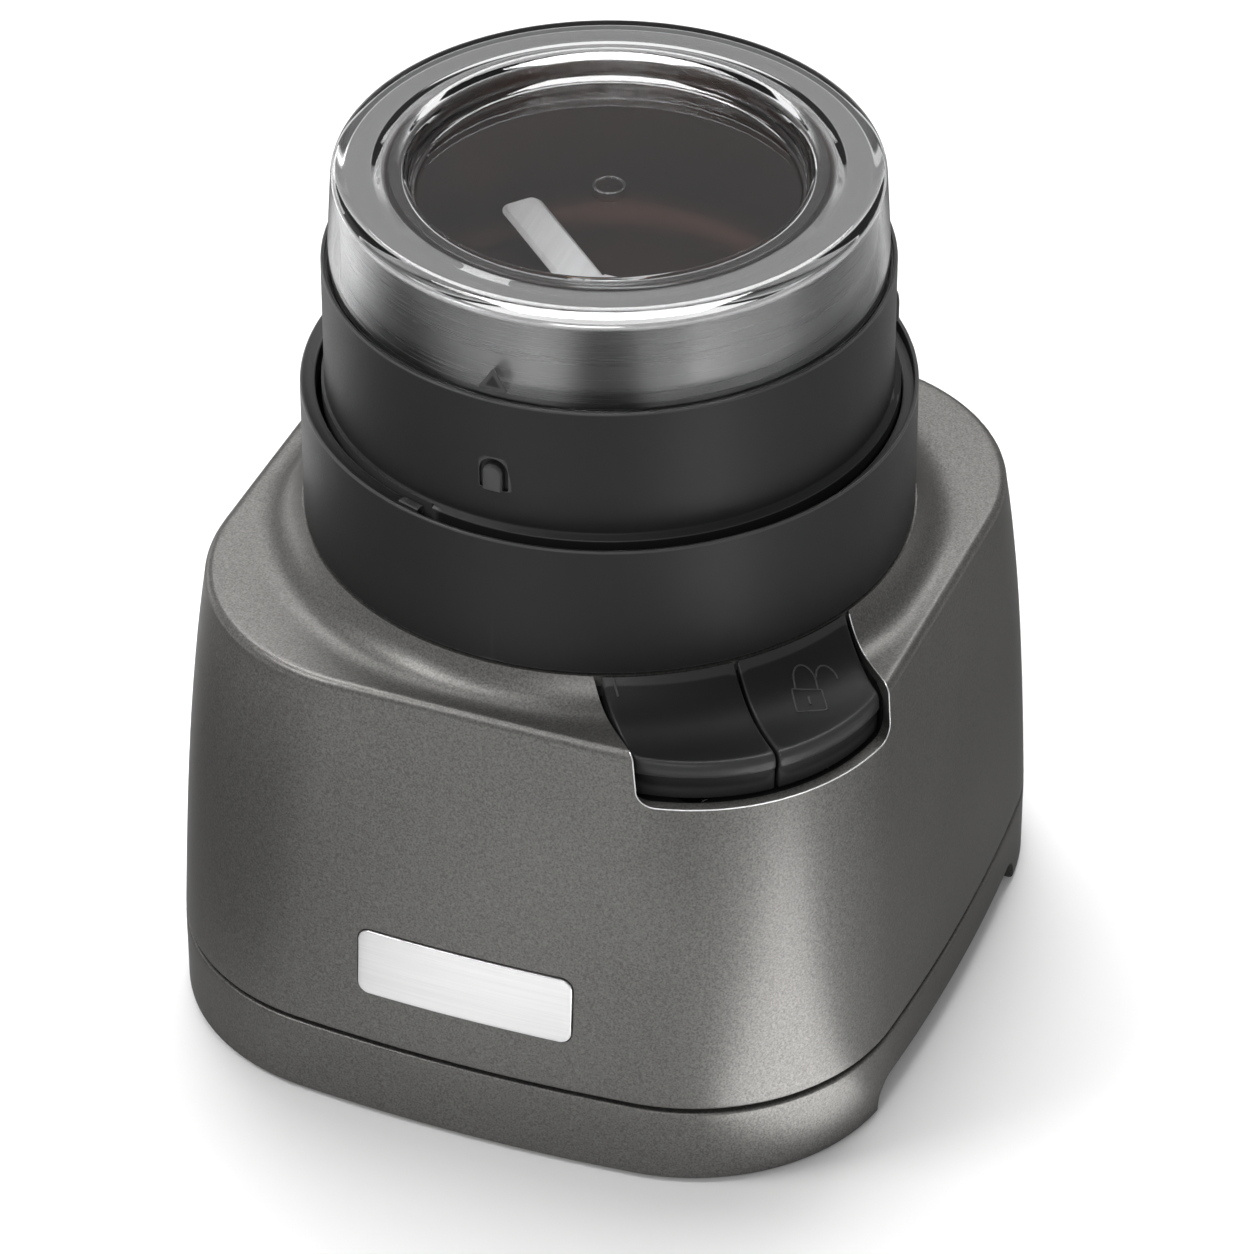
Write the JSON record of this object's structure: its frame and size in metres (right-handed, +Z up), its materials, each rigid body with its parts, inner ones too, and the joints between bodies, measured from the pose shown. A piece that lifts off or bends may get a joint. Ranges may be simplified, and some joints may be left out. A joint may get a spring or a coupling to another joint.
{
  "type": "electric food chopper",
  "caption": "Grey power base with rounded shoulders, a black drive tower and corner press keys, carrying a black grinding mill with a steel cup, blade and clear twist-off lid.",
  "frame": {"origin": "on the floor under the drive axis, at the centre of the base", "axes": "+Z up along the drive axis, -Y towards the front with the badge plate, +X to the right"},
  "size_m": [0.16, 0.167, 0.1894],
  "materials": {
    "housing_grey": "satin metallic paint with fine speckle",
    "plinth_grey": "satin metallic paint",
    "badge_metal": "brushed, bare",
    "black_satin": "satin moulded",
    "key_black": "fine matt moulded",
    "black_rubber": "matt",
    "seal_rubber": "matt",
    "silicone": "translucent",
    "screw_steel": "zinc plated",
    "cup_steel": "brushed around the axis",
    "blade_steel": "ground bright",
    "bracket_alloy": "die cast",
    "iron_stack": "stamped laminations",
    "copper": "enamelled wire",
    "brass": "stamped",
    "bronze": "sintered",
    "carbon": "pressed graphite",
    "shaft_steel": "ground",
    "fan_nylon": "moulded",
    "coupling_nylon": "moulded",
    "latch_acetal": "moulded",
    "board_green": "solder mask",
    "board_parts": "moulded cases",
    "switch_case": "moulded",
    "clear_lid": "clear polished plastic"
  },
  "bodies": {
    "base": {"housing": "housing_grey", "plinth": "plinth_grey", "badge_plate": "badge_metal", "rubber_feet": "black_rubber", "plinth_screws": "screw_steel", "cord_gland": "black_rubber", "tower_ring": "black_satin", "drive_deck": "black_satin", "deck_screws": "screw_steel", "drive_seal": "seal_rubber", "lower_bracket": "bracket_alloy", "upper_bracket": "bracket_alloy", "motor_bolts": "screw_steel", "motor_mounts": "black_rubber", "mount_screws": "screw_steel", "stator_core": "iron_stack", "field_coils": "copper", "lower_bearing": "shaft_steel", "upper_bearing": "shaft_steel", "brush_holders": "brass", "carbon_brushes": "carbon", "control_board": "board_green", "board_parts": "board_parts", "reed_switch": "switch_case", "key_frame": "key_black", "frame_screws": "screw_steel", "key_pivot_pin": "shaft_steel", "key_switches": "switch_case", "left_key_spring": "shaft_steel", "right_key_spring": "shaft_steel"},
    "rotor": {"motor_shaft": "shaft_steel", "armature_core": "iron_stack", "armature_windings": "copper", "commutator": "copper", "cooling_fan": "fan_nylon", "drive_coupling": "coupling_nylon"},
    "left_key": {"left_key": "key_black"},
    "right_key": {"right_key": "key_black"},
    "latch": {"release_latch": "latch_acetal"},
    "mill": {"mill_body": "black_satin", "mill_base": "black_satin", "mill_screws": "screw_steel", "steel_cup": "cup_steel", "cup_gasket": "seal_rubber", "spindle_bush": "bronze", "spindle_seal": "silicone", "interlock_magnet": "iron_stack"},
    "blade": {"blade": "blade_steel", "blade_spindle": "shaft_steel", "blade_nut": "blade_steel", "driven_socket": "coupling_nylon"},
    "lid_seal": {"lid_seal": "silicone"},
    "lid": {"lid": "clear_lid"}
  },
  "joints": [
    {"name": "rotor_spin", "type": "hinge", "parent": "base", "child": "rotor", "pos_m": [0, 0, 0.05], "axis": [0, 0, 1], "continuous": true},
    {"name": "left_key_press", "type": "hinge", "parent": "base", "child": "left_key", "pos_m": [0.04243, -0.04243, 0.096], "axis": [0.7071, 0.7071, 0], "range_deg": [0, 5], "stiffness_Nm_per_rad": 1, "springref_deg": -1.72, "deforming": ["left_key_spring"]},
    {"name": "right_key_press", "type": "hinge", "parent": "base", "child": "right_key", "pos_m": [0.04243, -0.04243, 0.096], "axis": [0.7071, 0.7071, 0], "range_deg": [0, 5], "stiffness_Nm_per_rad": 1, "springref_deg": -1.72, "deforming": ["right_key_spring"]},
    {"name": "latch_slide", "type": "slide", "parent": "base", "child": "latch", "axis": [0.848, -0.5299, 0], "range_m": [0, 0.0016]},
    {"name": "mill_lift", "type": "slide", "parent": "base", "child": "mill", "axis": [0, 0, 1], "range_m": [0, 0.06]},
    {"name": "blade_spin", "type": "hinge", "parent": "mill", "child": "blade", "pos_m": [0, 0, 0.14], "axis": [0, 0, 1], "continuous": true},
    {"name": "lid_lift", "type": "slide", "parent": "mill", "child": "lid_seal", "axis": [0, 0, 1], "range_m": [0, 0.04]},
    {"name": "lid_turn", "type": "hinge", "parent": "lid_seal", "child": "lid", "pos_m": [0, 0, 0.175], "axis": [0, 0, 1], "range_deg": [0, 25]}
  ],
  "couplings": [
    {"joint": "blade_spin", "follows": "rotor_spin", "ratio": 1},
    {"joint": "latch_slide", "follows": "right_key_press", "m_per_rad": 0.0183}
  ]
}
